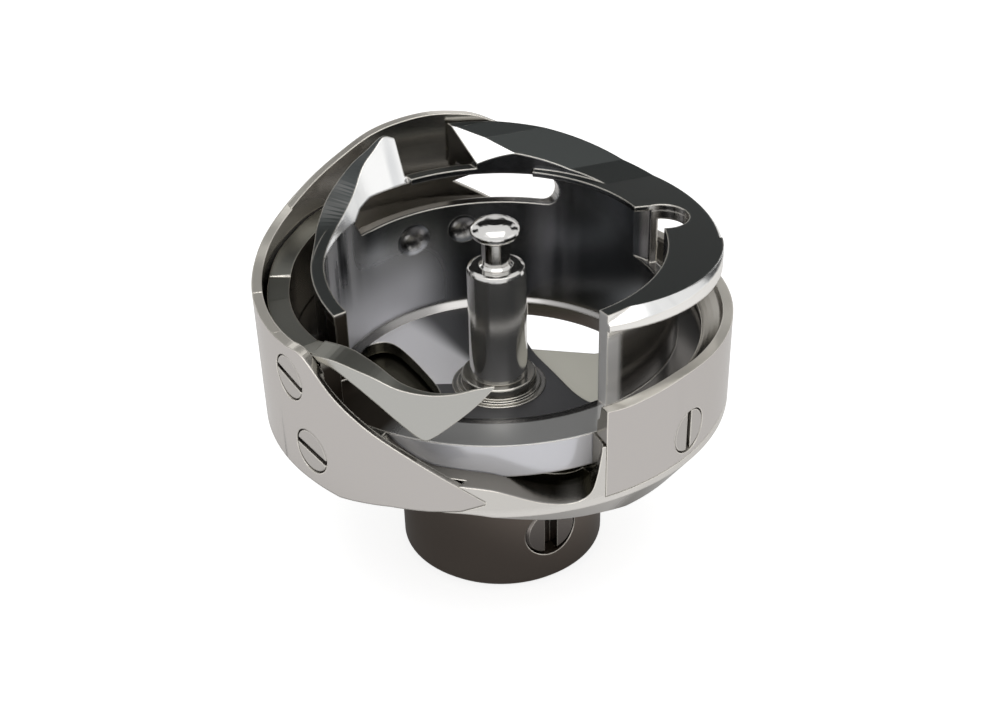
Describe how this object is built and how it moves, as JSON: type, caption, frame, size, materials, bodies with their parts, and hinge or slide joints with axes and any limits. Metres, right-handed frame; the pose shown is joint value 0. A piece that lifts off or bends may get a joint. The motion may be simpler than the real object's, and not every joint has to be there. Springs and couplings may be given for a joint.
{
  "type": "sewing machine rotary hook",
  "caption": "Rotary sewing hook: a turned hub and ring with a pointed beak, a screwed-on gib, and a bobbin case holder with a centre stud that turns freely in the race.",
  "frame": {"origin": "middle of the hub's lower face, on the axis of the shaft bore and the race", "axes": "+Z along the shaft bore, from the hub towards the open side; +X to the right seen from the side with the window"},
  "size_m": [0.035, 0.035, 0.0291],
  "materials": {
    "hook_steel": "ground and polished",
    "gib_steel": "ground and polished",
    "holder_steel": "polished",
    "stud_steel": "polished",
    "screw_steel": "ground"
  },
  "bodies": {
    "hook": {"hook_body": "hook_steel", "hook_gib": "gib_steel", "gib_screw_upper": "screw_steel", "gib_screw_lower": "screw_steel", "gib_screw_right": "screw_steel", "hub_set_screw_front": "screw_steel", "hub_set_screw_left": "screw_steel", "hub_set_screw_right": "screw_steel"},
    "holder": {"bobbin_case_holder": "holder_steel", "centre_stud": "stud_steel", "stud_washer": "stud_steel"}
  },
  "joints": [
    {"name": "holder_spin", "type": "hinge", "parent": "hook", "child": "holder", "pos_m": [0, 0, 0.0176], "axis": [0, 0, 1], "continuous": true}
  ]
}
